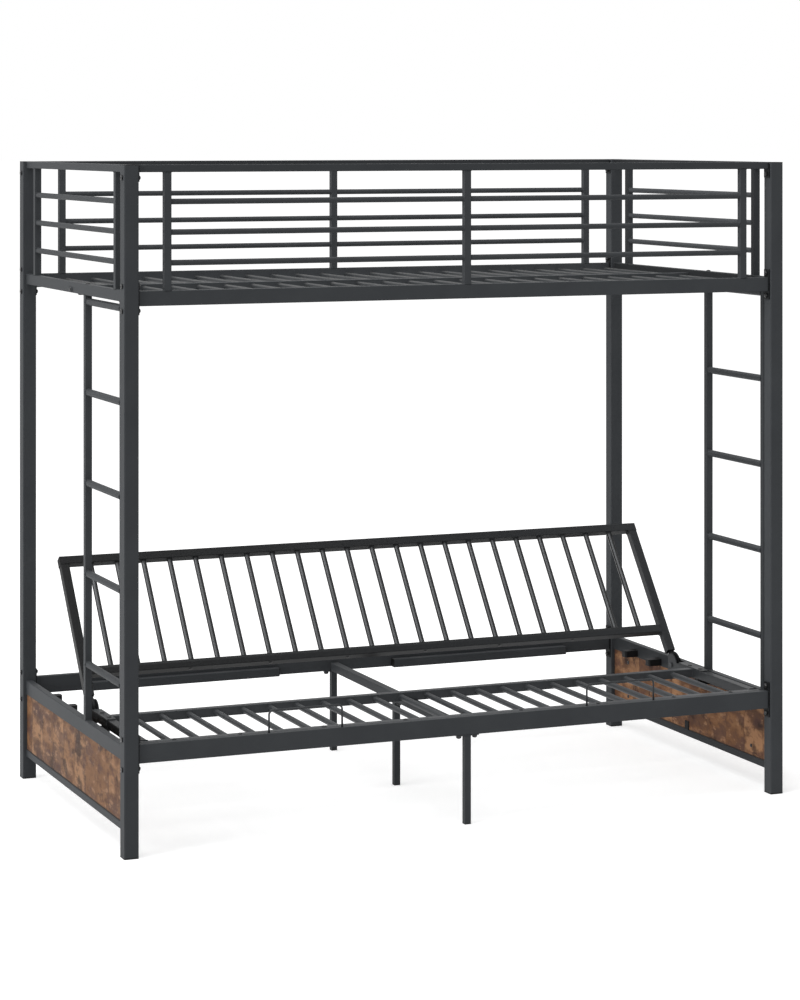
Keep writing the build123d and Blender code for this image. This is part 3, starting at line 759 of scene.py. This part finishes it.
seatWelds = {"frontY": -0.475, "rearY": -0.1245}
bm = bmesh.new()
for side in bothSides:
    front = (side * members["seatTubeX"], seatWelds["frontY"], members["seatMiddle"])
    rear = (side * members["seatTubeInner"], seatWelds["rearY"], members["seatMiddle"])
    addBead(bm, front, (0, 1, 0), aroundTube)
    addBead(bm, rear, (-side, 0, 0), aroundTube)
madePiece("seat_frame_welds", bm, "futon_coat", "bed_frame")
print("welds laid")


# the mattress hoops, bent from round wire

hoopWire = {"radius": 0.0027, "bend": 0.0125, "between": 0.949, "sides": 12, "bendSteps": 6}


def addWire(bm, path, radius, sides):
    # a round wire along a path in the XZ plane; each step is (place, direction)
    rings = []
    for place, way in path:
        outward = Vector((-way.z, 0, way.x)) * radius
        sideways = Vector((0, radius, 0))
        turns = [2 * math.pi * step / sides for step in range(sides)]
        rings.append([bm.verts.new(place + outward * math.cos(t) + sideways * math.sin(t))
                      for t in turns])
    bm.faces.new(rings[0])
    bm.faces.new(list(reversed(rings[-1])))
    joinRings(bm, rings)


bm = bmesh.new()
hoopLow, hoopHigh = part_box("mattress_hoops")
wire, bend = hoopWire["radius"], hoopWire["bend"]
halfWide = hoopHigh.x - hoopWire["between"] / 2 - wire
hoopTop = hoopHigh.z - wire
hoopY = (hoopLow.y + hoopHigh.y) / 2
for side in bothSides:
    middle = side * hoopWire["between"] / 2
    path = [(Vector((middle - halfWide, hoopY, hoopLow.z)), Vector((0, 0, 1)))]
    for corner, start in ((-1, 180), (1, 90)):
        for step in range(hoopWire["bendSteps"] + 1):
            turn = math.radians(start - 90 * step / hoopWire["bendSteps"])
            centre = Vector((middle + corner * (halfWide - bend), hoopY, hoopTop - bend))
            spot = centre + Vector((math.cos(turn), 0, math.sin(turn))) * bend
            path.append((spot, Vector((math.sin(turn), 0, -math.cos(turn)))))
    path.append((Vector((middle + halfWide, hoopY, hoopLow.z)), Vector((0, 0, -1))))
    addWire(bm, path, wire, hoopWire["sides"])
hoops = madePiece("bent_mattress_hoops", bm, "wire_coat", "bed_frame")
for polygon in hoops.data.polygons:
    polygon.use_smooth = len(polygon.vertices) == 4
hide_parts("mattress_hoops")
print("hoops bent")


# plugs in the open tube ends, and the upper bunk's end bolts

tubePlug = {
    "side": 0.0246, "corner": 0.0022, "deep": 0.006, "lip": 0.0014, "crown": 0.0008,
    "stemLess": 0.0016, "crownLess": (0.0007, 0.0022), "crownShare": 0.3,
}


def addPlug(bm, place, axis, turn=0.0):
    # a push-in plug with a softly crowned lip
    stand = standing(place, axis, turn)
    look = tubePlug
    shoulder, top = look["crownLess"]
    levels = (
        (-look["stemLess"], -look["deep"]), (-look["stemLess"], 0.0), (0.0, 0.0),
        (0.0, look["lip"] - look["crown"]),
        (-shoulder, look["lip"] - look["crown"] * look["crownShare"]), (-top, look["lip"]),
    )
    rings = []
    for grow, up in levels:
        wide = look["side"] + 2 * grow
        outline = boxOutline(wide, wide, look["corner"])
        rings.append([bm.verts.new(stand @ Vector((x, y, up))) for (x, y), out in outline])
    bm.faces.new(list(reversed(rings[0])))
    bm.faces.new(rings[-1])
    joinRings(bm, rings)


seatPlugY = -0.4875
ledgePlugs = {"y": 0.4875, "z": 0.2595, "outer": 0.781, "inner": 0.190}
bm = bmesh.new()
for side in bothSides:
    seatEnd = (side * members["seatTubeOuter"], seatPlugY, members["seatMiddle"])
    addPlug(bm, seatEnd, (side, 0, 0))
    addPlug(bm, (side * ledgePlugs["outer"], ledgePlugs["y"], ledgePlugs["z"]), (side, 0, 0))
    addPlug(bm, (side * ledgePlugs["inner"], ledgePlugs["y"], ledgePlugs["z"]), (-side, 0, 0))
madePiece("frame_tube_plugs", bm, "black_plastic", "bed_frame")
bm = bmesh.new()
for side in bothSides:
    place = onBack(side * members["seatTubeOuter"], members["backTop"])
    addPlug(bm, place, (side, 0, 0), side * lean)
madePiece("backrest_tube_plugs", bm, "black_plastic", "backrest")

deckBolts = {
    "dome": ((0.0070, 0), (0.0070, 0.0009), (0.0064, 0.0022), (0.0050, 0.0034),
             (0.0026, 0.0041), (0, 0.0042)),
    "domePlace": (0.970, -0.120, 1.4907), "domeSides": 20,
    "small": ((0.0048, 0), (0.0048, 0.0008), (0.0043, 0.0018), (0.0028, 0.0027), (0, 0.0030)),
    "smallPlace": (0.9821, 0.012, 1.4697), "smallSides": 16,
}
bm = bmesh.new()
for side in bothSides:
    mirror = Vector((side, 1, 1))
    domePlace = Vector(deckBolts["domePlace"]) * mirror
    smallPlace = Vector(deckBolts["smallPlace"]) * mirror
    addTurned(bm, domePlace, (0, 0, 1), deckBolts["dome"], deckBolts["domeSides"])
    addTurned(bm, smallPlace, (side, 0, 0), deckBolts["small"], deckBolts["smallSides"])
madePiece("deck_end_bolts", bm, "bolt_coat", "bed_frame")

deckTab = {"x": (0.9796, 0.9822), "y": (0.000, 0.040), "z": (1.4625, 1.4770), "corner": 0.003}


def addTab(bm, side):
    # a flat tab across X with its four corners rounded
    lowY, highY = deckTab["y"]
    lowZ, highZ = deckTab["z"]
    middleY, middleZ = (lowY + highY) / 2, (lowZ + highZ) / 2
    outline = boxOutline(highY - lowY, highZ - lowZ, deckTab["corner"])
    rings = [[bm.verts.new((side * x, middleY + y, middleZ + z)) for (y, z), out in outline]
             for x in deckTab["x"]]
    bm.faces.new(rings[0])
    bm.faces.new(list(reversed(rings[1])))
    joinRings(bm, rings)


bm = bmesh.new()
for side in bothSides:
    addTab(bm, side)
madePiece("deck_end_tabs", bm, "rail_coat", "bed_frame")
print("plugs and end bolts set")


# floor, light and camera

studio = {
    "ambient": 0.445,
    "top": 235, "topPlace": (-1.2, -0.6, 5.6), "topSize": 5.0,
    "left": 580, "leftPlace": (-11.0, -3.2, 4.2), "leftSize": 5.0,
    "aim": (0, 0, 0.9),
    "floor": (0.80, 0.80, 0.80), "floorDrop": 0.0005, "floorHalf": 400,
    "cloud": (0.9, 3), "cloudColour": (0.7, 0.7, 0.7), "cloudShare": 0.03, "floorRough": 0.9,
    "floorGlow": 0.72, "nearGlow": (0.69, 0.69, 0.69), "farGlow": (1, 1, 1),
    "glowZone": (1.0, 2.6),  # metres from the bed's middle
}
whiteFor = ("Is Camera Ray", "Is Glossy Ray", "Is Transmission Ray")


def floorWhite(name):
    # the floor's white, which keeps the bed's shadow
    coat = Coat(name)
    cloud = coat.noise(coat.place(), *studio["cloud"])
    colour = coat.mixed(cloud * studio["cloudShare"], studio["floor"], studio["cloudColour"])
    coat.feed(coat.shader.inputs["Base Color"], colour)
    coat.shader.inputs["Roughness"].default_value = studio["floorRough"]
    coat.shader.inputs["Specular IOR Level"].default_value = 0.0
    path = coat.node("ShaderNodeLightPath").socket.node
    seen = Wire(coat, path.outputs[whiteFor[0]])
    for kind in whiteFor[1:]:
        seen = seen.blendWith("MAXIMUM", seen, Wire(coat, path.outputs[kind]))
    distance = coat.node("ShaderNodeVectorMath", {"operation": "LENGTH"}, {0: coat.place()},
                         "Value")
    away = coat.rising(distance, studio["glowZone"])
    shine = coat.mixed(away, studio["nearGlow"], studio["farGlow"])
    glowing = coat.node("ShaderNodeEmission", None, {
        "Color": shine, "Strength": studio["floorGlow"]})
    plain = Wire(coat, coat.shader.outputs[0])
    both = coat.node("ShaderNodeAddShader", None, {0: plain, 1: glowing})
    shown = coat.node("ShaderNodeMixShader", None, {0: seen, 1: plain, 2: both})
    coat.tree.links.new(shown.socket, coat.output.inputs["Surface"])
    return coat.material


bm = bmesh.new()
bmesh.ops.create_grid(bm, x_segments=1, y_segments=1, size=studio["floorHalf"])
floorMesh = bpy.data.meshes.new("studio_floor")
bm.to_mesh(floorMesh)
bm.free()
floor = bpy.data.objects.new("studio_floor", floorMesh)
scene.collection.objects.link(floor)
floor.location.z = -studio["floorDrop"]
floorMesh.materials.append(floorWhite("floor_white"))

world = bpy.data.worlds.new("studio")
scene.world = world
world.use_nodes = True
tree = world.node_tree
background = next(n for n in tree.nodes if n.type == "BACKGROUND")
background.inputs["Color"].default_value = (1, 1, 1, 1)
path = tree.nodes.new("ShaderNodeLightPath")
seen = path.outputs[whiteFor[0]]
for kind in whiteFor[1:]:
    either = tree.nodes.new("ShaderNodeMath")
    either.operation = "MAXIMUM"
    tree.links.new(seen, either.inputs[0])
    tree.links.new(path.outputs[kind], either.inputs[1])
    seen = either.outputs[0]
level = tree.nodes.new("ShaderNodeMapRange")
level.inputs["To Min"].default_value = studio["ambient"]
level.inputs["To Max"].default_value = 1.0
tree.links.new(seen, level.inputs["Value"])
tree.links.new(level.outputs[0], background.inputs["Strength"])


def softbox(name, place, power, size):
    lamp = bpy.data.lights.new(name, "AREA")
    lamp.shape = "SQUARE"
    lamp.size = size
    lamp.energy = power
    holder = bpy.data.objects.new(name, lamp)
    scene.collection.objects.link(holder)
    holder.location = place
    aim = Vector(studio["aim"]) - Vector(place)
    holder.rotation_euler = aim.to_track_quat("-Z", "Y").to_euler()


softbox("top_box", studio["topPlace"], studio["top"], studio["topSize"])
softbox("left_box", studio["leftPlace"], studio["left"], studio["leftSize"])

# the camera stands level, and its shift keeps the posts upright as in the picture
view = {"place": (-3.17972, -7.70768, 1.90391), "ahead": (0.38274, 0.92385, 0),
        "focal": 2.847724, "drop": -0.365661, "aside": -0.0005, "sensor": 24, "reach": 200}
camera = bpy.data.cameras.new("camera")
camera.sensor_fit = "VERTICAL"
camera.sensor_height = view["sensor"]
camera.lens = view["focal"] * camera.sensor_height
camera.shift_y = view["drop"]
camera.shift_x = view["aside"]
camera.clip_end = view["reach"]
cameraHolder = bpy.data.objects.new("camera", camera)
scene.collection.objects.link(cameraHolder)
cameraHolder.location = view["place"]
cameraHolder.rotation_euler = Vector(view["ahead"]).to_track_quat("-Z", "Y").to_euler()
scene.camera = cameraHolder
scene.view_settings.view_transform = "Standard"
print("camera and lights set")
